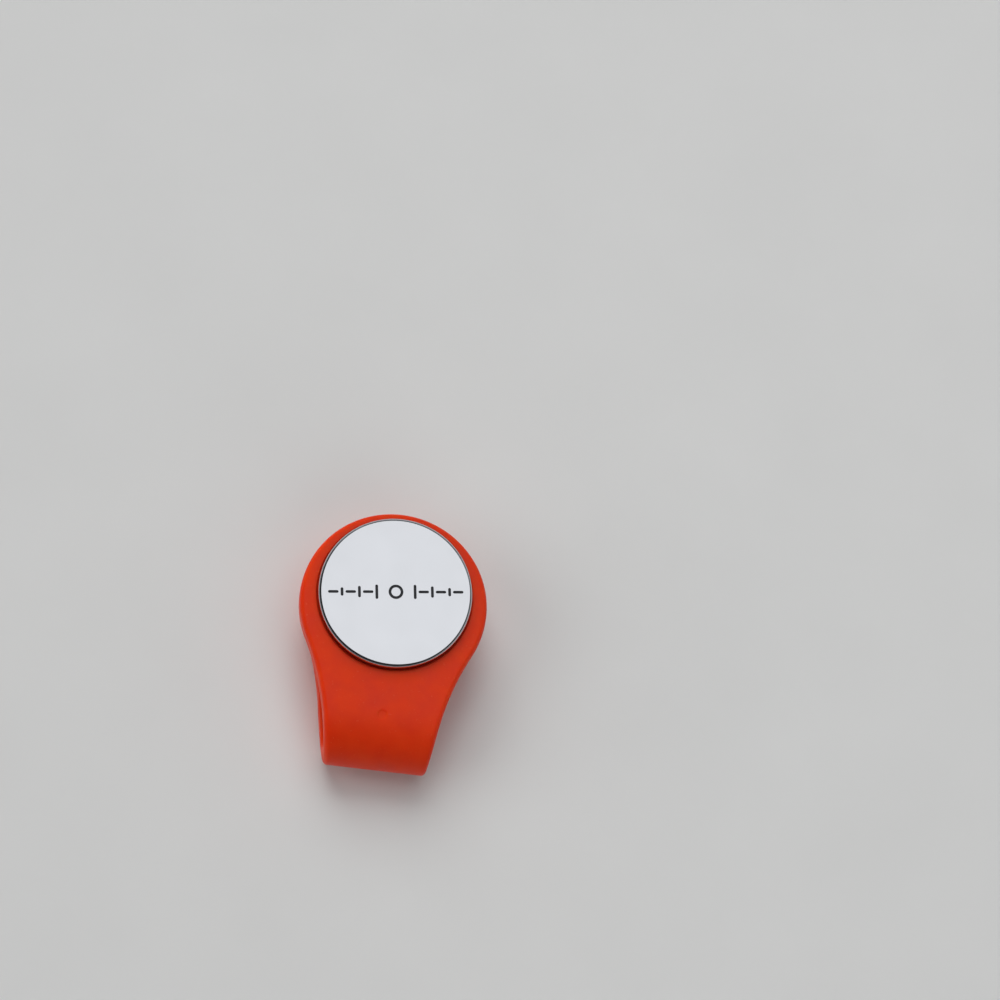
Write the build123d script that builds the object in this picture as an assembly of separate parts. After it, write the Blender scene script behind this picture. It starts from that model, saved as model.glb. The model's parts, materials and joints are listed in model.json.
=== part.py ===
"""Cap-clip golf ball marker: a folded silicone clip that grips the edge of a cap's peak, with a
magnetic seat on its upper head that holds a chromed steel marker disc.

Row frame: +Z up, +Y from the fold towards the heads, +X to the right.  The origin is on the
marker's axis, in the flat face that the clip lies on.  All sizes are in millimetres.
"""

from build123d import *
import os
from math import hypot, radians, sqrt, tan

# ---- driving dimensions -------------------------------------------------------------------
# Marker disc
MARKER_RADIUS = 12.5
MARKER_THICKNESS = 2.0
MARKER_EDGE = 0.6           # rounding of both rims
MARKER_TURN = 7.0           # degrees that the disc happens to be turned in its seat

# Walls of the clip, from the table up
LOWER_WALL = 3.3
SLOT_HEIGHT = 4.8           # between the two inner faces, for a cap's peak
UPPER_WALL = 3.3

# Plan outline
HEAD_SETBACK = 1.4          # heads' centre, from the marker's axis towards the fold
UPPER_HEAD_RADIUS = 15.2
LOWER_HEAD_RADIUS = 13.8
NOSE_HALF_WIDTH = 8.2
NECK_TAPER = 9.0            # degrees, each side
NECK_BLEND_RADIUS = 46.0    # long concave curve from neck to head

# Fold
NOSE_Y = -27.8
NOSE_LENGTH = 9.0           # length over which the outer faces curve round to the nose
NOSE_WALL = 2.8
FLEX_REACH = 2.0            # of the nose that flexes, each side of the middle plane

# Edges
OUTER_EDGE = 0.8
INNER_EDGE = 0.5

# Marker seat and its pot magnet
SEAT_CLEARANCE = 0.15
SEAT_DEPTH = 0.5
LIP_THICKNESS = 0.3
LIP_RADIUS = 6.85
CUP_RADIUS = 7.2
CUP_HEIGHT = 2.1
CUP_BASE = 0.5
CUP_BORE_RADIUS = 6.3
MAGNET_RADIUS = 6.0
MAGNET_THICKNESS = 1.5
POCKET_CLEARANCE = 0.05

# Clamp magnet in the lower head
KEEPER_THICKNESS = 0.4
COVER_RADIUS = 6.85
COVER_THICKNESS = 0.6

# Grip ribs on the inner faces, and thumb grooves under the lower head
RIB_HEIGHT = 0.3
RIB_RADIUS = 0.5
RIB_PITCH = 2.4
RIB_COUNT = 4
RIB_MARGIN = 1.8            # from each end of a rib to the neck's side
UPPER_RIB_Y = -18.8
LOWER_RIB_Y = -17.6         # half a pitch on, so that closed jaws mesh
GROOVE_RADII = (4.5, 7.0, 9.5)
GROOVE_DEPTH = 0.25
GROOVE_WIRE = 0.4           # radius of the rounded groove

# Moulding gate's mark on the neck
GATE_Y = -20.0
GATE_RADIUS = 0.8
GATE_DEPTH = 0.1

# Sighting line sunk in the marker's face: a centre ring, then ticks and dashes each way
MARK_WIDTH = 0.45
MARK_DEPTH = 0.15
RING_RADIUS = 1.2
TICKS = ((3.1, 2.4), (5.9, 1.9), (8.7, 1.4))    # offset from the centre, height
DASH_OFFSETS = (4.5, 7.3, 10.1)
DASH_LENGTH = 1.7

# ---- levels worked out from the walls -----------------------------------------------------
LOWER_INNER_Z = LOWER_WALL
MIDDLE_Z = LOWER_WALL + SLOT_HEIGHT / 2
UPPER_INNER_Z = LOWER_WALL + SLOT_HEIGHT
TOP_Z = UPPER_INNER_Z + UPPER_WALL
SEAT_Z = TOP_Z - SEAT_DEPTH
CUP_TOP_Z = SEAT_Z - LIP_THICKNESS
CUP_Z = CUP_TOP_Z - CUP_HEIGHT
COVER_Z = LOWER_INNER_Z - COVER_THICKNESS
CLAMP_Z = COVER_Z - MAGNET_THICKNESS
KEEPER_Z = CLAMP_Z - KEEPER_THICKNESS
FOLD_Y = NOSE_Y + NOSE_LENGTH
BEND_RADIUS = SLOT_HEIGHT / 2
BEND_Y = NOSE_Y + NOSE_WALL + BEND_RADIUS
SEAT_RADIUS = MARKER_RADIUS + SEAT_CLEARANCE
SLOPE = tan(radians(NECK_TAPER))
ROOM = 60.0                 # half-size of the blocks used only for cutting


def neck_half_width(y):
    """Half-width of the neck's straight sides at y."""
    return NOSE_HALF_WIDTH + (y - NOSE_Y) * SLOPE


def disc(radius, bottom, height):
    """Solid disc on the marker's axis, standing on z = bottom."""
    return Pos(0, 0, bottom) * extrude(Circle(radius), amount=height)


def plan_face(head_radius):
    """Outline in plan: a tapered neck, a round head and concave blends between them."""
    head_y = -HEAD_SETBACK
    corners = [(NOSE_HALF_WIDTH, NOSE_Y), (neck_half_width(head_y), head_y)]
    neck = make_face(Polyline(corners + [(-x, y) for x, y in corners[::-1]], close=True))
    plan = neck + Pos(0, head_y) * Circle(head_radius)
    return fillet(plan.vertices().group_by(Axis.Y)[1], NECK_BLEND_RADIUS)


def side_block():
    """Folded strip seen from the side, as a block across the whole width."""
    edges = [
        Line((ROOM, TOP_Z), (FOLD_Y, TOP_Z)),
        EllipticalCenterArc(
            (FOLD_Y, MIDDLE_Z), NOSE_LENGTH, TOP_Z - MIDDLE_Z, start_angle=90, arc_size=180
        ),
        Line((FOLD_Y, 0), (ROOM, 0)),
        Line((ROOM, 0), (ROOM, LOWER_INNER_Z)),
        Line((ROOM, LOWER_INNER_Z), (BEND_Y, LOWER_INNER_Z)),
        ThreePointArc(
            (BEND_Y, LOWER_INNER_Z), (BEND_Y - BEND_RADIUS, MIDDLE_Z), (BEND_Y, UPPER_INNER_Z)
        ),
        Line((BEND_Y, UPPER_INNER_Z), (ROOM, UPPER_INNER_Z)),
        Line((ROOM, UPPER_INNER_Z), (ROOM, TOP_Z)),
    ]
    return extrude(Plane.YZ * make_face(edges), amount=ROOM, both=True)


def on_outer_face(point):
    """True for a point on the strip's outer face, flat or curving round the nose."""
    share = max(0.0, FOLD_Y - point.Y) / NOSE_LENGTH
    rise = (TOP_Z - MIDDLE_Z) * sqrt(max(0.0, 1 - share**2))
    return abs(abs(point.Z - MIDDLE_Z) - rise) < 1e-3


def on_inner_face(point):
    """True for a point on the strip's inner face, flat or in the bend."""
    if point.Y > BEND_Y:
        return abs(abs(point.Z - MIDDLE_Z) - BEND_RADIUS) < 1e-3
    return abs(hypot(point.Y - BEND_Y, point.Z - MIDDLE_Z) - BEND_RADIUS) < 1e-3


def rim_edges(strip, on_face):
    """Edges all round one broad face, without the seams that run straight across it."""
    rim = []
    for edge in strip.edges():
        step = edge @ 1 - edge @ 0
        across = abs(step.Y) < 1e-4 and abs(step.Z) < 1e-4 and (edge @ 0).Y < 0
        if not across and all(on_face(edge @ share) for share in (0.1, 0.5, 0.9)):
            rim.append(edge)
    return rim


def moulding():
    """Whole folded strip with rounded edges, before any pocket is cut."""
    upper_plan = extrude(plan_face(UPPER_HEAD_RADIUS), amount=ROOM)
    lower_plan = extrude(plan_face(LOWER_HEAD_RADIUS), amount=-ROOM)
    strip = Pos(0, 0, MIDDLE_Z) * (upper_plan + lower_plan) & side_block()
    strip = fillet(rim_edges(strip, on_outer_face), OUTER_EDGE)
    return fillet(rim_edges(strip, on_inner_face), INNER_EDGE)


def nose_block():
    """Block round the part of the nose that flexes."""
    return Pos(0, BEND_Y - ROOM, MIDDLE_Z) * Box(2 * ROOM, 2 * ROOM, 2 * FLEX_REACH)


def grip_ribs(first_y, face_z, up):
    """Low rounded ribs across the neck's inner face."""
    sunk = RIB_RADIUS - RIB_HEIGHT
    ribs = []
    for index in range(RIB_COUNT):
        y = first_y + index * RIB_PITCH
        length = 2 * (neck_half_width(y) - RIB_MARGIN)
        bar = Cylinder(RIB_RADIUS, length, rotation=(0, 90, 0))
        ribs.append(Pos(0, y, face_z + up * sunk) * fillet(bar.edges(), RIB_RADIUS * 0.6))
    return ribs


def arm_blank(strip, up):
    """Upper (up = 1) or lower (up = -1) arm of the strip, without the flexing nose."""
    beyond = Pos(0, 0, MIDDLE_Z + up * ROOM) * Box(2 * ROOM, 2 * ROOM, 2 * ROOM)
    return (strip & beyond) - nose_block()


def upper_arm(strip):
    """Upper arm with the marker's seat, the cup's undercut pocket and grip ribs."""
    seat = disc(SEAT_RADIUS, SEAT_Z, SEAT_DEPTH + 1)
    mouth = disc(LIP_RADIUS, CUP_TOP_Z, LIP_THICKNESS)
    pocket = disc(CUP_RADIUS + POCKET_CLEARANCE, CUP_Z, CUP_HEIGHT)
    gate = Pos(0, GATE_Y, TOP_Z) * extrude(Circle(GATE_RADIUS), amount=-GATE_DEPTH * 2)
    arm = arm_blank(strip, 1) - seat - mouth - pocket - gate
    return arm + grip_ribs(UPPER_RIB_Y, UPPER_INNER_Z, 1)


def lower_arm(strip):
    """Lower arm with the clamp magnet's stepped pocket, ribs and thumb grooves."""
    pocket = disc(MAGNET_RADIUS + POCKET_CLEARANCE, KEEPER_Z, COVER_Z - KEEPER_Z)
    step = disc(COVER_RADIUS + POCKET_CLEARANCE, COVER_Z, COVER_THICKNESS + 1)
    arm = arm_blank(strip, -1) - pocket - step
    for radius in GROOVE_RADII:
        arm -= Pos(0, 0, GROOVE_DEPTH - GROOVE_WIRE) * Torus(radius, GROOVE_WIRE)
    return arm + grip_ribs(LOWER_RIB_Y, LOWER_INNER_Z, -1)


def magnet_cup():
    """Steel pot that holds the seat magnet and carries its flux up to the marker."""
    cup = disc(CUP_RADIUS, CUP_Z, CUP_HEIGHT)
    cup -= disc(CUP_BORE_RADIUS, CUP_Z + CUP_BASE, CUP_HEIGHT)
    return chamfer(cup.edges().group_by(Axis.Z)[0], 0.2)


def magnet(bottom):
    """Plated magnet disc."""
    return chamfer(disc(MAGNET_RADIUS, bottom, MAGNET_THICKNESS).edges(), 0.12)


def magnet_cover():
    """Silicone plug that closes the clamp magnet's pocket flush with the inner face."""
    plug = disc(COVER_RADIUS, COVER_Z, COVER_THICKNESS)
    return fillet(plug.edges().group_by(Axis.Z)[-1], 0.2)


def marker_disc():
    """Chromed disc with both rims rounded and a plain sighting line in its face."""
    body = fillet(disc(MARKER_RADIUS, SEAT_Z, MARKER_THICKNESS).edges(), MARKER_EDGE)
    marks = Circle(RING_RADIUS) - Circle(RING_RADIUS - MARK_WIDTH)
    for sign in (-1, 1):
        for offset, height in TICKS:
            marks += Pos(sign * offset, 0) * SlotOverall(height, MARK_WIDTH, rotation=90)
        for offset in DASH_OFFSETS:
            marks += Pos(sign * offset, 0) * SlotOverall(DASH_LENGTH, MARK_WIDTH)
    sunk = Pos(0, 0, SEAT_Z + MARKER_THICKNESS) * extrude(marks, amount=-MARK_DEPTH)
    return Rot(0, 0, MARKER_TURN) * (body - sunk)


strip = moulding()
nodes = {
    "marker_disc": marker_disc(),
    "upper_arm": upper_arm(strip),
    "fold": strip & nose_block(),
    "lower_arm": lower_arm(strip),
    "magnet_cup": magnet_cup(),
    "seat_magnet": magnet(CUP_Z + CUP_BASE),
    "clamp_magnet": magnet(CLAMP_Z),
    "keeper_plate": disc(MAGNET_RADIUS, KEEPER_Z, KEEPER_THICKNESS),
    "magnet_cover": magnet_cover(),
}
os.makedirs("parts", exist_ok=True)
for name, shape in nodes.items():
    export_step(shape, f"parts/{name}.step")
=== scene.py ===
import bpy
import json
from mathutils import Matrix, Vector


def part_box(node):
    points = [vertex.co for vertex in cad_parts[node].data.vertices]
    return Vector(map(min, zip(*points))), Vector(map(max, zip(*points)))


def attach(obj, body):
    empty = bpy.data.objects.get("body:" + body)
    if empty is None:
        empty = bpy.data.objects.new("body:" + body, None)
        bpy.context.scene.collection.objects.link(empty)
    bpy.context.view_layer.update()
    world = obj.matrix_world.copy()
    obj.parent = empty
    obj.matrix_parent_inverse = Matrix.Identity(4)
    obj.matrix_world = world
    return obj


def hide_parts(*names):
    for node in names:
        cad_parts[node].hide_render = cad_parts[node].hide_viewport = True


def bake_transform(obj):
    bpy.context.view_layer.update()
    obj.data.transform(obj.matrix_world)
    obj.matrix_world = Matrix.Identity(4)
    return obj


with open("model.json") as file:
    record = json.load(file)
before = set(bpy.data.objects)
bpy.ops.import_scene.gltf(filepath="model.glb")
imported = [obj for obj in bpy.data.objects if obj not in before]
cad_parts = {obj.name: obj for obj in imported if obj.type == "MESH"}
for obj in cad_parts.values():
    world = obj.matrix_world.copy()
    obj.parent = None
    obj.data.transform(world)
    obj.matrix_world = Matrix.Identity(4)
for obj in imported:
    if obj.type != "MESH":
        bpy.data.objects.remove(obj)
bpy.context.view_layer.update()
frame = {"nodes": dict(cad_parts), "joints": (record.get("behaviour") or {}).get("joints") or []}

import json
import math

import bmesh
import bpy
import numpy as np
from mathutils import Matrix, Vector
from mathutils.geometry import delaunay_2d_cdt

# The object's shapes are worked out in millimetres and scaled once, when a mesh is made.
MM = 0.001


def box_mm(node):
    """Lowest and highest corner of a CAD node, in millimetres."""
    low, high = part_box(node)
    return Vector(low) / MM, Vector(high) / MM


# ---- sizes read from the frame --------------------------------------------------------------
LOW = {node: box_mm(node)[0] for node in frame["nodes"]}
HIGH = {node: box_mm(node)[1] for node in frame["nodes"]}
HINGE = next(joint for joint in frame["joints"] if joint["name"] == "jaw_flex")
MIDDLE_Z = HINGE["pos_m"][2] / MM
TOP_Z = HIGH["upper_arm"].z
LOWER_INNER_Z = HIGH["magnet_cover"].z      # the cover is flush with the lower arm's inner face
UPPER_INNER_Z = 2 * MIDDLE_Z - LOWER_INNER_Z
NOSE_Y = LOW["fold"].y
UPPER_HEAD_R = HIGH["upper_arm"].x
LOWER_HEAD_R = HIGH["lower_arm"].x
HEAD_Y = HIGH["upper_arm"].y - UPPER_HEAD_R
MARKER_R = (HIGH["marker_disc"].y - LOW["marker_disc"].y) / 2
MARKER_TOP_Z = HIGH["marker_disc"].z
MARKER_Z = LOW["marker_disc"].z
CUP_R = HIGH["magnet_cup"].x
CUP_Z = LOW["magnet_cup"].z
CUP_TOP_Z = HIGH["magnet_cup"].z
MAGNET_R = HIGH["seat_magnet"].x
COVER_R = HIGH["magnet_cover"].x
COVER_Z = LOW["magnet_cover"].z
KEEPER_Z = LOW["keeper_plate"].z

# ---- the moulding's sizes that the frame's boxes don't show ---------------------------------
NOSE_HALF_WIDTH = 8.2
NOSE_LENGTH = 9.0
NOSE_WALL = 2.8
TAPER = math.radians(9.0)
BLEND_R = 46.0
OUTER_EDGE = 0.8
INNER_EDGE = 0.5
PARTING_RIDGE = 0.035
FOLD_Y = NOSE_Y + NOSE_LENGTH
BEND_R = UPPER_INNER_Z - MIDDLE_Z
BEND_Y = NOSE_Y + NOSE_WALL + BEND_R

SEAT_GAP = 0.15
SEAT_RELIEF = 0.02          # the floor is a hair under the marker, so they don't share a plane
SEAT_MOUTH_EDGE = 0.2
SEAT_ROOT_EDGE = 0.08
SEAT_R = MARKER_R + SEAT_GAP
SEAT_FLOOR_Z = MARKER_Z - SEAT_RELIEF
LIP_R = 6.85
LIP_EDGE = 0.1
POCKET_GAP = 0.05
CUP_POCKET_R = CUP_R + POCKET_GAP
COVER_HOLE_R = COVER_R + POCKET_GAP
COVER_HOLE_EDGE = 0.1
MAGNET_POCKET_R = MAGNET_R + POCKET_GAP

RIB_R = 0.5
RIB_HEIGHT = 0.3
RIB_SUNK = RIB_R - RIB_HEIGHT
RIB_MARGIN = 1.8
RIB_COUNT = 4
RIB_PITCH = 2.4
UPPER_RIB_Y = -18.8
LOWER_RIB_Y = -17.6

GROOVE_RADII = (9.5, 7.0, 4.5)
GROOVE_SECTION_R = 0.4
GROOVE_DEPTH = 0.25
GROOVE_SHOULDER = 0.06
GROOVE_PAD_R = GROOVE_RADII[0] + 0.9

GATE_X = 0.0
GATE_Y = -20.0
GATE_R = 0.8
GATE_DEPTH = 0.1
GATE_SLOPE = 0.16

# ---- the marker's and the inner pieces' sizes -----------------------------------------------
MARKER_EDGE = 0.6
MARKER_TURN = math.radians(7.0)
MARK_WIDTH = 0.45
MARK_DEPTH = 0.15
RING_R = 1.2
TICKS = ((3.1, 2.4), (5.9, 1.9), (8.7, 1.4))        # distance from the middle, and height
DASH_OFFSETS = (4.5, 7.3, 10.1)
DASH_LENGTH = 1.7
CUP_BORE_GAP = 0.3
CUP_RIM_EDGE = 0.12
CUP_FOOT_EDGE = 0.25
MAGNET_EDGE = 0.12
KEEPER_EDGE = 0.05
COVER_EDGE = 0.15

# ---- mesh density ---------------------------------------------------------------------------
SPACING = 0.45
FACE_SPACING = 0.9
RING_SPACING = 0.4
MARK_SPACING = 0.3
ROW_SHARE = 0.866           # distance between rows of near-regular triangles, in spacings
LONG_SHARE = 0.8            # a loop's edge longer than this keeps the grid clear of its middle
CLEAR_SHARE = 0.6           # how clear of every loop the grid stays
BATCH = 200                 # loop points compared with the grid at a time, to save memory
WELD = 2e-6                 # metres
DEGENERATE = 1e-7           # metres
OUTLINE_STEP = 0.4
HEAD_POINTS = 88
ARC_LENGTH_POINTS = 600
FOLD_STEPS = 30
ROUND_STEPS = 8
WALL_STEPS = 8
SEAT_POINTS = 192
MARKER_POINTS = 256
RING_POINTS = 48
GATE_POINTS = 40
INNER_PIECE_POINTS = 128
SEAT_FLOOR_RINGS = np.linspace(SEAT_R - 0.2, LIP_R + 0.25, 12)
GROOVE_STEPS = 10
GROOVE_PAD_RINGS = (2.5, 1.0)
MARKER_FACE_RING = 0.15     # width of the ring of quads inside the marker's rounded rim
MARKER_UNDER_RING = 8.0
CUP_RING = 3.0
DISC_RING_SHARES = (0.4, 0.8)
RIB_LOOPS = (0.52, 0.457, 0.42, 0.36, 0.28, 0.18, 0.08)     # distances from a rib's middle line
GATE_LOOPS = (-0.03, 0.04, 0.08, 0.12, 0.17)                # steps in from the gate mark's rim
MIRROR = np.array([-1, 1, 1])


# ---- small geometry helpers -----------------------------------------------------------------
def unit(v):
    """Rows of v scaled to length 1."""
    return v / np.linalg.norm(v, axis=-1, keepdims=True)


def circle(radius, count, centre=(0.0, 0.0)):
    """Points round a circle in plan."""
    a = np.linspace(0, 2 * math.pi, count, endpoint=False)
    return np.stack([centre[0] + radius * np.cos(a), centre[1] + radius * np.sin(a)], 1)


def capsule(a, b, radius, steps=8, side_step=0.35):
    """Outline of a bar with round ends from a to b, with points at side_step along its sides."""
    a, b = np.array(a, float), np.array(b, float)
    heading = math.atan2(b[1] - a[1], b[0] - a[0])
    run = max(1, int(np.linalg.norm(b - a) / side_step))
    cap = np.linspace(-math.pi / 2, math.pi / 2, steps + 1)
    turn = np.stack([np.cos(cap + heading), np.sin(cap + heading)], 1)
    right, left = turn[0] * radius, turn[-1] * radius
    share = np.linspace(0, 1, run + 1)[1:-1, None]
    return np.concatenate([
        b + turn * radius,
        (b + left) * (1 - share) + (a + left) * share,
        a - turn * radius,
        (a + right) * (1 - share) + (b + right) * share,
    ])


def inside(points, loop):
    """True for each point inside a closed loop, by even and odd crossings."""
    x, y = points[:, :1], points[:, 1:2]
    ax, ay = loop[:, 0], loop[:, 1]
    bx, by = np.roll(ax, -1), np.roll(ay, -1)
    spans = (ay > y) != (by > y)
    rise = np.where(by == ay, 1e-12, by - ay)
    return (spans & (x < (bx - ax) * (y - ay) / rise + ax)).sum(1) % 2 == 1


def from_segment(points, a, b):
    """Distance of each point from the segment a-b."""
    a, b = np.array(a, float), np.array(b, float)
    along = np.clip((points - a) @ (b - a) / max(1e-9, (b - a) @ (b - a)), 0, 1)
    return np.linalg.norm(points - a - along[:, None] * (b - a), axis=1)


def staggered_grid(low, high, spacing):
    """Points of near-regular triangles between two corners in plan."""
    grid = []
    for row, y in enumerate(np.arange(low[1] + spacing / 2, high[1], spacing * ROW_SHARE)):
        xs = np.arange(low[0] + spacing / 2 * (row % 2), high[0], spacing)
        grid.append(np.stack([xs, np.full(len(xs), y)], 1))
    return np.concatenate(grid)


def arc(r, z, radius, start, end, steps):
    """(radius, z) points on an arc about (r, z); 0 degrees is outwards and 90 is up."""
    angles = np.radians(np.linspace(start, end, steps + 1))
    return [(r + radius * math.cos(a), z + radius * math.sin(a)) for a in angles]


def mouth(r, z, edge, steps=4):
    """Rounded mouth of a hole of radius r, from the face at z down to the hole's wall."""
    return arc(r + edge, z - edge, edge, 90, 180, steps)


def shoulder(r, z, edge, steps=4):
    """Rounded upper edge of a disc of radius r, from its face at z down to its side."""
    return arc(r - edge, z - edge, edge, 90, 0, steps)


def foot(r, z, edge, steps=4):
    """Rounding from a side at radius r down to a face at z inside it."""
    return arc(r - edge, z + edge, edge, 0, -90, steps)


class Skin:
    """Gathers the faces of one piece, in millimetres, and welds its regions together."""

    def __init__(self):
        self.points, self.faces, self.slots = [], [], []

    def add(self, points, faces, slot=0):
        base = len(self.points)
        self.points.extend(map(tuple, points))
        self.faces.extend(tuple(base + int(i) for i in face) for face in faces)
        self.slots.extend([slot] * len(faces))

    def rows(self, rows, closed=False, slot=0):
        """Quads between rows of equal length."""
        rows = np.array(rows, float)
        count, width = rows.shape[:2]
        faces = []
        for i in range(count - 1):
            here, there = i * width, (i + 1) * width
            for j in range(width if closed else width - 1):
                k = (j + 1) % width
                faces.append((here + j, here + k, there + k, there + j))
        self.add(rows.reshape(-1, 3), faces, slot)

    def lathe(self, profile, count, slot=0):
        """Surface of revolution about Z through (radius, z) points; a radius of 0 is a fan."""
        a = np.linspace(0, 2 * math.pi, count, endpoint=False)
        rings = []
        for r, z in profile:
            if r > 0:
                rings.append(np.stack([r * np.cos(a), r * np.sin(a), np.full(count, z)], 1))
        self.rows(rings, closed=True, slot=slot)
        for end, ring in ((profile[0], rings[0]), (profile[-1], rings[-1])):
            if end[0] == 0:
                fan = [(j, (j + 1) % count, count) for j in range(count)]
                self.add(np.concatenate([ring, [[0, 0, end[1]]]]), fan, slot)

    def area(self, outline, holes, lines, place, spacing=SPACING, slot=0):
        """Triangles inside outline and outside holes, whose edges also follow the loops in lines.

        Each loop is (flat, solid): its points in plan and their places in space. A solid of None
        stands for place(flat).
        """
        loops = [outline] + list(holes) + list(lines)
        flat = np.concatenate([loop[0] for loop in loops])
        solid = np.concatenate([place(loop[0]) if loop[1] is None else loop[1] for loop in loops])
        edges, start = [], 0
        for loop in loops:
            n = len(loop[0])
            edges += [(start + i, start + (i + 1) % n) for i in range(n)]
            start += n
        grid = staggered_grid(outline[0].min(0), outline[0].max(0), spacing)
        grid = grid[inside(grid, outline[0])]
        for hole in holes:
            grid = grid[~inside(grid, hole[0])]
        clear = np.full(len(grid), np.inf)
        for part in np.array_split(flat, max(1, len(flat) // BATCH)):
            distances = np.linalg.norm(grid[:, None] - part[None], axis=2)
            clear = np.minimum(clear, distances.min(1))
        for a, b in ((flat[i], flat[j]) for i, j in edges):
            if np.linalg.norm(b - a) > LONG_SHARE * spacing:
                clear = np.minimum(clear, from_segment(grid, a, b))
        grid = grid[clear > CLEAR_SHARE * spacing]
        flat = np.concatenate([flat, grid])
        solid = np.concatenate([solid, place(grid)])
        made = delaunay_2d_cdt([Vector(p) for p in flat], edges, [], 0, 1e-5)
        points = np.array([solid[same[0]] for same in made[3]])
        plan = np.array([tuple(p) for p in made[0]])
        middle = np.array([plan[list(face)].mean(0) for face in made[2]])
        keep = inside(middle, outline[0])
        for hole in holes:
            keep &= ~inside(middle, hole[0])
        self.add(points, [face for face, wanted in zip(made[2], keep) if wanted], slot)

    def make(self, name, materials, sharp):
        """Object with welded seams, faces turned outwards and edges sharper than sharp marked."""
        mesh = bpy.data.meshes.new(name)
        mesh.from_pydata([tuple(c * MM for c in p) for p in self.points], [], self.faces)
        mesh.polygons.foreach_set("material_index", self.slots)
        mesh.polygons.foreach_set("use_smooth", [True] * len(mesh.polygons))
        work = bmesh.new()
        work.from_mesh(mesh)
        bmesh.ops.remove_doubles(work, verts=work.verts, dist=WELD)
        bmesh.ops.dissolve_degenerate(work, edges=work.edges, dist=DEGENERATE)
        bmesh.ops.recalc_face_normals(work, faces=work.faces)
        work.to_mesh(mesh)
        work.free()
        mesh.set_sharp_from_angle(angle=math.radians(sharp))
        for material in materials:
            mesh.materials.append(material)
        obj = bpy.data.objects.new(name, mesh)
        bpy.context.scene.collection.objects.link(obj)
        weighted = obj.modifiers.new("flat_faces_stay_flat", "WEIGHTED_NORMAL")
        weighted.weight = 80
        weighted.keep_sharp = True
        return obj


# ---- the silicone clip ----------------------------------------------------------------------
def half_width(y):
    """Half-width of the neck's straight sides at y."""
    return NOSE_HALF_WIDTH + (y - NOSE_Y) * math.tan(TAPER)


class Outline:
    """Right half of the moulding's plan: straight neck, concave blend, round head."""

    def __init__(self, head_radius):
        slope = math.tan(TAPER)
        offset = half_width(0) + BLEND_R / math.cos(TAPER)
        a, b = 1 + slope**2, offset * slope - HEAD_Y
        c = offset**2 + HEAD_Y**2 - (head_radius + BLEND_R) ** 2
        blend_y = (-b - math.sqrt(b * b - a * c)) / a
        self.head_radius = head_radius
        self.blend = np.array([offset + slope * blend_y, blend_y])
        self.side = np.array([math.cos(TAPER), -math.sin(TAPER)])
        self.neck_y = (self.blend - self.side * BLEND_R)[1]
        self.to_head = unit(np.array([0.0, HEAD_Y]) - self.blend)

    def neck(self, y):
        """Half-width and outward normals at y, on the straight neck or its blend."""
        drop = y - self.blend[1]
        curved = self.blend[0] - np.sqrt(BLEND_R**2 - drop**2)
        past = y > self.neck_y
        x = np.where(past, curved, half_width(y))
        spoke = np.stack([self.blend[0] - curved, -drop], 1) / BLEND_R
        return x, np.where(past[:, None], spoke, self.side)

    def beyond_fold(self):
        """Points and outward normals from the fold's line to the head's tip."""
        contact = self.blend + self.to_head * BLEND_R
        ys = np.linspace(FOLD_Y, contact[1], int((contact[1] - FOLD_Y) / OUTLINE_STEP))[:-1]
        x, normals = self.neck(ys)
        begin = math.atan2(-self.to_head[1], -self.to_head[0])
        turn = np.linspace(begin, math.pi / 2, HEAD_POINTS)
        spoke = np.stack([np.cos(turn), np.sin(turn)], 1)
        head = np.array([0.0, HEAD_Y]) + spoke * self.head_radius
        return np.concatenate([np.stack([x, ys], 1), head]), np.concatenate([normals, spoke])


class Sheet:
    """One broad face of the folded strip: places by (x, distance from the nose's middle line)."""

    def __init__(self, up, outer, height):
        self.up, self.outer = up, outer
        t = np.linspace(0, math.pi / 2, ARC_LENGTH_POINTS)
        if outer:
            self.end_y = FOLD_Y
            y, z = FOLD_Y - NOSE_LENGTH * np.cos(t), height * np.sin(t)
            ny, nz = -np.cos(t) / NOSE_LENGTH, np.sin(t) / height
        else:
            self.end_y = BEND_Y
            y, z = BEND_Y - height * np.cos(t), height * np.sin(t)
            ny, nz = np.cos(t), -np.sin(t)
        step = np.hypot(np.diff(y), np.diff(z))
        length = np.concatenate([[0], np.cumsum(step)])
        size = np.hypot(ny, nz)
        self.table = length, y, z, ny / size, nz / size
        self.bend_length = length[-1]

    def reach(self, y):
        """Distance along the sheet of a point at y on its flat part."""
        return self.bend_length + (y - self.end_y)

    def at(self, s):
        """y, z and normal (ny, nz) at distance s along the sheet."""
        length, *columns = self.table
        y, z, ny, nz = (np.interp(s, length, column) for column in columns)
        y = y + np.maximum(0, s - self.bend_length)
        return y, MIDDLE_Z + self.up * z, ny, self.up * nz

    def place(self, flat, bump=None):
        """Points in space for flat (x, s) points, raised by bump(flat)."""
        y, z, ny, nz = self.at(flat[:, 1])
        h = 0.0 if bump is None else bump(flat)
        return np.stack([flat[:, 0], y + ny * h, z + nz * h], 1)

    def round_hole(self, radius):
        """Loop of a round hole about the marker's axis, for Skin.area."""
        loop = circle(radius, SEAT_POINTS)
        return np.stack([loop[:, 0], self.reach(loop[:, 1])], 1), None

    def rim(self, flat, solid):
        """Loop round the sheet: both sides, and the nose's middle line between them."""
        flat = np.concatenate([flat, flat[-2::-1] * MIRROR[:2]])
        solid = np.concatenate([solid, solid[-2::-1] * MIRROR])
        count = int(2 * flat[0, 0] / SPACING)
        xs = np.linspace(flat[-1, 0], flat[0, 0], count + 1)[1:-1]
        line = np.stack([xs, np.zeros(len(xs))], 1)
        return np.concatenate([flat, line]), np.concatenate([solid, self.place(line)])


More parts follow.
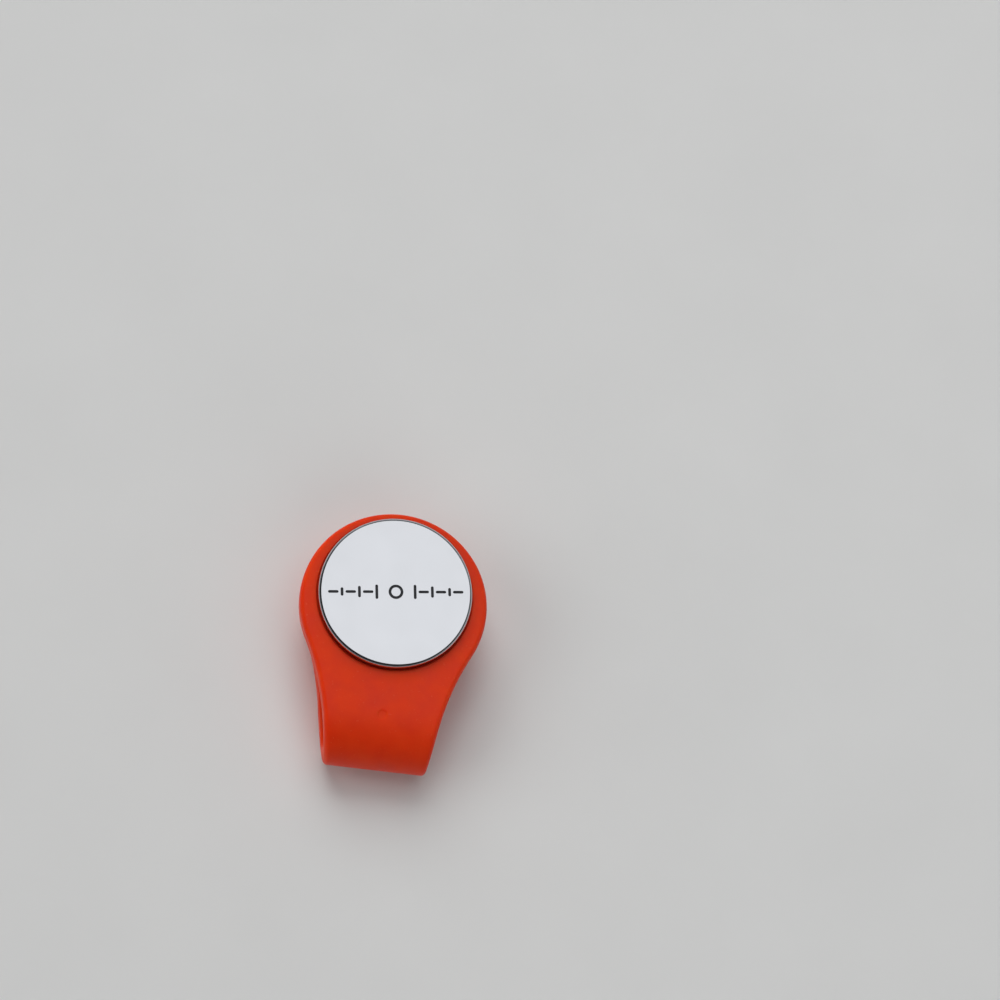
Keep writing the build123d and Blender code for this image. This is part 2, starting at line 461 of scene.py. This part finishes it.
class ClipHalf:
    """Upper (up = 1) or lower (up = -1) half of the moulding."""

    def __init__(self, up):
        self.up = up
        self.outer = Sheet(up, True, TOP_Z - MIDDLE_Z if up > 0 else MIDDLE_Z)
        self.inner = Sheet(up, False, BEND_R)
        self.shape = Outline(UPPER_HEAD_R if up > 0 else LOWER_HEAD_R)
        self.plan, self.plan_normals = self.shape.beyond_fold()
        first_y = UPPER_RIB_Y if up > 0 else LOWER_RIB_Y
        self.ribs = [self.rib_ends(first_y + index * RIB_PITCH) for index in range(RIB_COUNT)]
        self.rib_lines = []
        for a, b in self.ribs:
            self.rib_lines += [(capsule(a, b, radius), None) for radius in RIB_LOOPS]

    def rib_ends(self, y):
        """Ends of a grip rib's middle line, in the inner sheet's own coordinates."""
        reach = half_width(y) - RIB_MARGIN - RIB_R
        return (-reach, self.inner.reach(y)), (reach, self.inner.reach(y))

    def rib_height(self, flat):
        """Height of the ribs above the inner face."""
        near = np.min([from_segment(flat, a, b) for a, b in self.ribs], axis=0)
        return np.maximum(0, np.sqrt(np.maximum(0, RIB_R**2 - near**2)) - RIB_SUNK)

    def on_inner(self, flat):
        """Points of the inner face, with its ribs."""
        return self.inner.place(flat, self.rib_height)

    def gate_dip(self, flat):
        """Height of the shallow round mark left by the moulding gate."""
        near = np.hypot(flat[:, 0] - GATE_X, flat[:, 1] - self.outer.reach(GATE_Y))
        t = np.clip((GATE_R - near) / GATE_SLOPE, 0, 1)
        return -GATE_DEPTH * t * t * (3 - 2 * t)

    def on_outer(self, flat):
        """Points of the outer face, with the gate's mark on the upper arm."""
        return self.outer.place(flat, self.gate_dip if self.up > 0 else None)

    def edge(self, sheet, radius):
        """Rounding between a sheet and the side wall.

        Gives its rows from the sheet to the wall, the first row in the sheet's own coordinates,
        and the wall's outward normals.
        """
        share = np.linspace(0, 1, FOLD_STEPS + 1)[:-1]
        s = np.concatenate([share * sheet.reach(FOLD_Y), sheet.reach(self.plan[:, 1])])
        y, z, ny, nz = sheet.at(s)
        neck_x, neck_normals = self.shape.neck(y[:FOLD_STEPS])
        x = np.concatenate([neck_x, self.plan[:, 0]])
        outward = np.concatenate([neck_normals, self.plan_normals])
        outward = np.column_stack([outward, np.zeros(len(outward))])
        normal = np.stack([np.zeros_like(y), ny, nz], 1)
        corner = np.stack([x, y, z], 1)
        lean = (normal * outward).sum(1, keepdims=True)
        centre = corner - radius * (normal + outward) / (1 + lean)
        angle = np.arccos(lean)
        rows = []
        for t in np.linspace(0, 1, ROUND_STEPS + 1):
            turn = (np.sin((1 - t) * angle) * normal + np.sin(t * angle) * outward) / np.sin(angle)
            rows.append(centre + radius * turn)
        forward = sheet.up if sheet.outer else -sheet.up
        tangent = np.stack([np.zeros_like(y), nz, -ny], 1) * forward
        flat = np.stack([rows[0][:, 0], s + ((rows[0] - corner) * tangent).sum(1)], 1)
        return rows, flat, outward

    def build(self, skin):
        """Side wall with its rounded edges and parting ridge, then both broad faces."""
        outer_rows, outer_flat, outward = self.edge(self.outer, OUTER_EDGE)
        inner_rows, inner_flat, _ = self.edge(self.inner, INNER_EDGE)
        wall = []
        for step in range(1, WALL_STEPS):
            t = step / WALL_STEPS
            ridge = PARTING_RIDGE if 2 * step == WALL_STEPS else 0.0
            row = outer_rows[-1] * (1 - t) + inner_rows[-1] * t
            row[:FOLD_STEPS, 0] = self.shape.neck(row[:FOLD_STEPS, 1])[0]
            wall.append(row + outward * ridge)
        rows = np.array(outer_rows + wall + inner_rows[::-1])
        skin.rows(np.concatenate([rows, rows[:, -2::-1] * MIRROR], 1))
        inner_rim = self.inner.rim(inner_flat, inner_rows[0])
        outer_rim = self.outer.rim(outer_flat, outer_rows[0])
        if self.up > 0:
            skin.area(inner_rim, [], self.rib_lines, self.on_inner)
            self.seat_side(skin, outer_rim)
        else:
            self.cover_side(skin, inner_rim)
            self.groove_side(skin, outer_rim)

    def seat_side(self, skin, rim):
        """Upper arm's outer face, with the gate's mark and the marker's seat."""
        gate = (GATE_X, self.outer.reach(GATE_Y))
        gate_lines = [(circle(GATE_R - inset, GATE_POINTS, gate), None) for inset in GATE_LOOPS]
        hole = self.outer.round_hole(SEAT_R + SEAT_MOUTH_EDGE)
        skin.area(rim, [hole], gate_lines, self.on_outer)
        wall = mouth(SEAT_R, TOP_Z, SEAT_MOUTH_EDGE, 6) + foot(SEAT_R, SEAT_FLOOR_Z, SEAT_ROOT_EDGE, 3)
        floor = [(r, SEAT_FLOOR_Z) for r in SEAT_FLOOR_RINGS]
        lip = mouth(LIP_R, SEAT_FLOOR_Z, LIP_EDGE) + [(LIP_R, CUP_TOP_Z)]
        pocket = [(CUP_POCKET_R, CUP_TOP_Z), (CUP_POCKET_R, CUP_Z), (0, CUP_Z)]
        skin.lathe(wall + floor + lip + pocket, SEAT_POINTS)

    def cover_side(self, skin, rim):
        """Lower arm's inner face, with the stepped pocket for the magnet and its cover."""
        hole = self.inner.round_hole(COVER_HOLE_R + COVER_HOLE_EDGE)
        skin.area(rim, [hole], self.rib_lines, self.on_inner)
        cover_hole = mouth(COVER_HOLE_R, LOWER_INNER_Z, COVER_HOLE_EDGE) + [(COVER_HOLE_R, COVER_Z)]
        pocket = [(MAGNET_POCKET_R, COVER_Z), (MAGNET_POCKET_R, KEEPER_Z), (0, KEEPER_Z)]
        skin.lathe(cover_hole + pocket, SEAT_POINTS)

    def groove_side(self, skin, rim):
        """Lower arm's flat underside, with round thumb grooves under the head."""
        skin.area(rim, [self.outer.round_hole(GROOVE_PAD_R)], [], self.on_outer)
        centre_z = GROOVE_DEPTH - GROOVE_SECTION_R
        half = math.sqrt(GROOVE_SECTION_R**2 - centre_z**2)
        profile = [(GROOVE_PAD_R, 0.0)]
        for radius in GROOVE_RADII:
            profile.append((radius + half + GROOVE_SHOULDER, 0.0))
            for x in np.linspace(half, -half, GROOVE_STEPS + 1):
                rise = math.sqrt(max(0, GROOVE_SECTION_R**2 - x * x))
                profile.append((radius + x, rise + centre_z))
            profile.append((radius - half - GROOVE_SHOULDER, 0.0))
        profile += [(r, 0.0) for r in GROOVE_PAD_RINGS + (0,)]
        skin.lathe(profile, SEAT_POINTS)


def silicone_clip(material):
    """The whole moulding as one skin, with sockets for the inner pieces."""
    skin = Skin()
    ClipHalf(1).build(skin)
    ClipHalf(-1).build(skin)
    return skin.make("silicone_clip", [material], sharp=50)


# ---- the marker disc and the pieces inside --------------------------------------------------
def level(z):
    """Function that puts plan points at height z."""
    return lambda flat: np.column_stack([flat, np.full(len(flat), z)])


def mark_bars():
    """Middle lines of the ticks and dashes, from end to end of their round tips."""
    tip = MARK_WIDTH / 2
    for sign in (-1, 1):
        for offset, height in TICKS:
            reach = height / 2 - tip
            yield (sign * offset, -reach), (sign * offset, reach)
        for offset in DASH_OFFSETS:
            reach = DASH_LENGTH / 2 - tip
            yield (sign * offset - reach, 0), (sign * offset + reach, 0)


def marker(materials):
    """Chromed disc with rounded rims and etched marks sunk in its face."""
    skin = Skin()
    face_r = MARKER_R - MARKER_EDGE - MARKER_FACE_RING
    rim = shoulder(MARKER_R, MARKER_TOP_Z, MARKER_EDGE, 14) + foot(MARKER_R, MARKER_Z, MARKER_EDGE, 10)
    under = [(MARKER_UNDER_RING, MARKER_Z), (0, MARKER_Z)]
    skin.lathe([(face_r, MARKER_TOP_Z)] + rim + under, MARKER_POINTS)
    bars = [capsule(a, b, MARK_WIDTH / 2, side_step=math.inf) for a, b in mark_bars()]
    ring_out = circle(RING_R, RING_POINTS)
    ring_in = circle(RING_R - MARK_WIDTH, RING_POINTS)
    face, deep = level(MARKER_TOP_Z), level(MARKER_TOP_Z - MARK_DEPTH)
    outline = circle(face_r, MARKER_POINTS)
    holes = [(loop, None) for loop in bars + [ring_out]]
    skin.area((outline, None), holes, [], face, spacing=FACE_SPACING)
    skin.area((ring_in, None), [], [], face, spacing=RING_SPACING)
    skin.area((ring_out, None), [(ring_in, None)], [], deep, spacing=MARK_SPACING, slot=1)
    for bar in bars:
        skin.area((bar, None), [], [], deep, spacing=MARK_SPACING, slot=1)
    for loop in bars + [ring_out, ring_in]:
        skin.rows([face(loop), deep(loop)], closed=True, slot=1)
    obj = skin.make("marker_disc_chrome", materials, sharp=30)
    obj.data.transform(Matrix.Rotation(MARKER_TURN, 4, "Z"))
    return obj


def turned(name, profile, material):
    """One solid of revolution from (radius, z) points."""
    skin = Skin()
    skin.lathe(profile, INNER_PIECE_POINTS)
    return skin.make(name, [material], sharp=35)


def disc(name, node, radius, edge, material):
    """Disc with small rounded edges, between the lowest and highest z of a CAD node."""
    low, high = LOW[node].z, HIGH[node].z
    rings = [radius * share for share in DISC_RING_SHARES]
    top = [(0, high)] + [(r, high) for r in rings] + shoulder(radius, high, edge)
    under = foot(radius, low, edge) + [(r, low) for r in rings[::-1]] + [(0, low)]
    return turned(name, top + under, material)


def pressed_cup(name, material):
    """Pressed steel pot for the seat magnet, with a rounded rim and a rounded foot."""
    bore, floor = MAGNET_R + CUP_BORE_GAP, LOW["seat_magnet"].z
    bottom = [(0, floor), (CUP_RING, floor), (bore, floor)]
    rim = mouth(bore, CUP_TOP_Z, CUP_RIM_EDGE)[::-1] + shoulder(CUP_R, CUP_TOP_Z, CUP_RIM_EDGE)
    under = foot(CUP_R, CUP_Z, CUP_FOOT_EDGE, 5) + [(CUP_RING, CUP_Z), (0, CUP_Z)]
    return turned(name, bottom + rim + under, material)


# ---- materials ------------------------------------------------------------------------------
def linear(r, g, b):
    """Linear colour from 8-bit display values."""
    shares = (c / 255 for c in (r, g, b))
    return tuple(c / 12.92 if c <= 0.04045 else ((c + 0.055) / 1.055) ** 2.4 for c in shares) + (1.0,)


def fill(node, inputs):
    """Set a node's inputs, or link those that are given another node's output."""
    for key, value in inputs.items():
        if isinstance(value, bpy.types.NodeSocket):
            node.id_data.links.new(value, node.inputs[key])
        else:
            node.inputs[key].default_value = value


def add_node(tree, kind, inputs, **settings):
    """New node of a kind, with its settings and inputs."""
    made = tree.nodes.new(kind)
    for key, value in settings.items():
        setattr(made, key, value)
    fill(made, inputs)
    return made


def map_range(tree, value, source, target=(0.0, 1.0), shape="LINEAR"):
    """Output that takes value from the range source to the range target, and no further."""
    inputs = {"Value": value, "From Min": source[0], "From Max": source[1],
              "To Min": target[0], "To Max": target[1]}
    return add_node(tree, "ShaderNodeMapRange", inputs, interpolation_type=shape).outputs["Result"]


class Surface:
    """A new material, and the kinds of node that the materials here are made of."""

    def __init__(self, name):
        self.material = bpy.data.materials.new(name)
        self.material.use_nodes = True
        self.tree = self.material.node_tree
        self.shader = self.tree.nodes["Principled BSDF"]
        self.place = add_node(self.tree, "ShaderNodeTexCoord", {}).outputs["Object"]

    def noise(self, scale, detail, place=None):
        inputs = {"Vector": place or self.place, "Scale": scale, "Detail": detail}
        return add_node(self.tree, "ShaderNodeTexNoise", inputs).outputs["Fac"]

    def ramp(self, factor, stops):
        """Colour ramp with (position, colour) stops."""
        made = add_node(self.tree, "ShaderNodeValToRGB", {"Fac": factor})
        elements = made.color_ramp.elements
        elements[0].position, elements[0].color = stops[0]
        elements[1].position, elements[1].color = stops[-1]
        for position, colour in stops[1:-1]:
            elements.new(position).color = colour
        return made.outputs["Color"]

    def bump(self, height, strength, distance):
        inputs = {"Height": height, "Strength": strength, "Distance": distance}
        return add_node(self.tree, "ShaderNodeBump", inputs).outputs["Normal"]


def silicone():
    """Matt orange silicone: fine mould texture, slight mottling and patches polished by handling."""
    surface = Surface("silicone_orange")
    mottle = surface.noise(260.0, 4.0)
    grain = surface.noise(6000.0, 3.0)
    specks = surface.noise(2400.0, 1.0)
    tones = [(0.25, linear(224, 50, 7)), (0.5, linear(230, 57, 9)), (0.75, linear(236, 64, 13))]
    dust = map_range(surface.tree, specks, (0.70, 0.78), (0.0, 0.25))
    mix = {0: dust, 6: surface.ramp(mottle, tones), 7: linear(238, 120, 84)}
    colour = add_node(surface.tree, "ShaderNodeMix", mix, data_type="RGBA").outputs[2]
    fill(surface.shader, {
        "Base Color": colour,
        "Roughness": map_range(surface.tree, mottle, (0.3, 0.7), (0.40, 0.56)),
        "Normal": surface.bump(grain, 0.25, 0.00003),
        "Subsurface Weight": 0.5,
        "Subsurface Radius": (1.0, 0.22, 0.06),
        "Subsurface Scale": 0.0022,
        "Specular IOR Level": 0.25,
        "Sheen Weight": 0.04,
    })
    return surface.material


def metal(name, tint, rough, scratch=0.3):
    """Plated metal with fine hairline scratches and uneven polish."""
    surface = Surface(name)
    smear = surface.noise(160.0, 4.0)
    stretch = {"Vector": surface.place, "Scale": (40.0, 2.0, 2.0), "Rotation": (0, 0, 0.7)}
    stretched = add_node(surface.tree, "ShaderNodeMapping", stretch).outputs["Vector"]
    hairlines = surface.noise(125.0, 2.0, stretched)
    dull = tuple(c * 0.96 for c in tint[:3]) + (1.0,)
    fill(surface.shader, {
        "Base Color": surface.ramp(smear, [(0.3, dull), (0.7, tint)]),
        "Roughness": map_range(surface.tree, smear, (0.3, 0.7), (rough * 0.75, rough * 1.4)),
        "Normal": surface.bump(hairlines, scratch, 0.000002),
        "Metallic": 1.0,
    })
    return surface.material


def etched():
    """Dark matt floor of the sunk marks."""
    surface = Surface("etched_marks")
    grain = surface.noise(9000.0, 2.0)
    fill(surface.shader, {
        "Base Color": surface.ramp(grain, [(0.3, (0.012, 0.013, 0.016, 1)), (0.7, (0.035, 0.036, 0.042, 1))]),
        "Roughness": 0.55,
        "Normal": surface.bump(grain, 0.4, 0.00001),
    })
    return surface.material


def pale_floor():
    """Matt, slightly uneven table top."""
    surface = Surface("floor_pale")
    cloud = surface.noise(40.0, 4.0)
    fill(surface.shader, {
        "Base Color": surface.ramp(cloud, [(0.3, (0.78, 0.78, 0.77, 1)), (0.7, (0.80, 0.80, 0.79, 1))]),
        "Roughness": 0.75,
    })
    return surface.material


# ---- the object -----------------------------------------------------------------------------
ORANGE = silicone()
CHROME = metal("chrome_plate", (0.66, 0.67, 0.70, 1.0), 0.045, scratch=0.05)
NICKEL = metal("nickel_plate", (0.72, 0.69, 0.62, 1.0), 0.22)
ZINC = metal("zinc_plate", (0.62, 0.64, 0.66, 1.0), 0.30)
ETCHED = etched()

clip = silicone_clip(ORANGE)
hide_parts("upper_arm", "fold", "lower_arm")
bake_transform(clip)

PIECES = (
    (marker([CHROME, ETCHED]), "marker", "marker_disc", "chrome"),
    (pressed_cup("cup_pressed_steel", ZINC), "upper_jaw", "magnet_cup", "zinc_plate"),
    (disc("seat_magnet_disc", "seat_magnet", MAGNET_R, MAGNET_EDGE, NICKEL),
     "upper_jaw", "seat_magnet", "nickel_plate"),
    (disc("clamp_magnet_disc", "clamp_magnet", MAGNET_R, MAGNET_EDGE, NICKEL),
     "lower_jaw", "clamp_magnet", "nickel_plate"),
    (disc("keeper_steel_disc", "keeper_plate", MAGNET_R, KEEPER_EDGE, ZINC),
     "lower_jaw", "keeper_plate", "zinc_plate"),
    (disc("cover_plug_silicone", "magnet_cover", COVER_R, COVER_EDGE, ORANGE),
     "lower_jaw", "magnet_cover", "silicone"),
)
for piece, body, node_name, slot_name in PIECES:
    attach(piece, body)
    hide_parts(node_name)

# ---- floor and light, in metres -------------------------------------------------------------
FLOOR_HALF_SIDE = 1.5
FLOOR_SQUARES = 8


def floor_plane(material):
    """Pale table top under the object."""
    work = bmesh.new()
    bmesh.ops.create_grid(work, x_segments=FLOOR_SQUARES, y_segments=FLOOR_SQUARES, size=FLOOR_HALF_SIDE)
    mesh = bpy.data.meshes.new("floor")
    work.to_mesh(mesh)
    work.free()
    mesh.materials.append(material)
    obj = bpy.data.objects.new("floor", mesh)
    bpy.context.scene.collection.objects.link(obj)


def aim(obj, place):
    """Put a light at place, looking at the origin."""
    obj.location = place
    obj.rotation_euler = (-Vector(place)).to_track_quat("-Z", "Y").to_euler()
    bpy.context.scene.collection.objects.link(obj)


def soft_sun(name, place, strength, spread):
    """Broad soft light from the direction of place, the same all over the floor."""
    data = bpy.data.lights.new(name, "SUN")
    data.energy = strength
    data.angle = math.radians(spread)
    obj = bpy.data.objects.new(name, data)
    obj.visible_glossy = False
    aim(obj, place)


def softbox(name, place, size, power, tint):
    """Rectangular area light at place."""
    data = bpy.data.lights.new(name, "AREA")
    data.shape = "RECTANGLE"
    data.size, data.size_y = size
    data.energy = power
    data.color = tint
    aim(bpy.data.objects.new(name, data), place)


def studio_world():
    """Dim room with a pale wall low down, behind and to the right of the object."""
    world = bpy.data.worlds.new("studio")
    bpy.context.scene.world = world
    world.use_nodes = True
    tree = world.node_tree
    direction = add_node(tree, "ShaderNodeTexCoord", {}).outputs["Generated"]
    height = add_node(tree, "ShaderNodeSeparateXYZ", {"Vector": direction}).outputs["Z"]
    low_down = map_range(tree, height, (0.62, 0.45), shape="SMOOTHSTEP")
    wall_way = {0: direction, 1: (0.6, 0.8, 0.0)}
    towards = add_node(tree, "ShaderNodeVectorMath", wall_way, operation="DOT_PRODUCT").outputs["Value"]
    side = map_range(tree, towards, (-0.35, 0.45), (0.33, 1.0), "SMOOTHSTEP")
    wall = add_node(tree, "ShaderNodeMath", {0: low_down, 1: side}, operation="MULTIPLY").outputs["Value"]
    strength = map_range(tree, wall, (0.0, 1.0), (0.02, 0.30))
    room = tree.nodes["Background"]
    fill(room, {"Color": (0.95, 0.97, 1.0, 1.0), "Strength": strength})
    backdrop = add_node(tree, "ShaderNodeBackground", {"Color": (0.45, 0.455, 0.46, 1.0)})
    camera_ray = add_node(tree, "ShaderNodeLightPath", {}).outputs["Is Camera Ray"]
    seen = {0: camera_ray, 1: room.outputs[0], 2: backdrop.outputs[0]}
    surface = add_node(tree, "ShaderNodeMixShader", seen).outputs[0]
    fill(tree.nodes["World Output"], {"Surface": surface})


floor_plane(pale_floor())
softbox("ceiling", (0.05, 0.16, 0.60), (0.55, 0.50), 0.93, (0.98, 0.99, 1.0))
soft_sun("window", (-0.15, 0.50, 0.50), 1.30, 45.0)
soft_sun("left_fill", (-0.60, -0.05, 0.30), 0.85, 50.0)
soft_sun("front_fill", (0.30, -0.60, 0.35), 0.45, 50.0)
studio_world()
bpy.context.scene.view_settings.view_transform = "Standard"

# ---- camera, in metres ----------------------------------------------------------------------
CAMERA_PLACE = Vector((-0.03087, -0.12073, 0.41447))
CAMERA_LOOK = Vector((0.10835, 0.32413, -0.93979)).normalized()
CAMERA_UP = Vector((-0.1273, 0.94209, 0.31025))
camera_data = bpy.data.cameras.new("camera")
camera_data.lens = 93.92
camera_data.sensor_width = 36.0
camera = bpy.data.objects.new("camera", camera_data)
right = CAMERA_LOOK.cross(CAMERA_UP).normalized()
up = right.cross(CAMERA_LOOK)
turn = Matrix((right, up, -CAMERA_LOOK)).transposed().to_4x4()
camera.matrix_world = Matrix.Translation(CAMERA_PLACE) @ turn
bpy.context.scene.collection.objects.link(camera)
bpy.context.scene.camera = camera
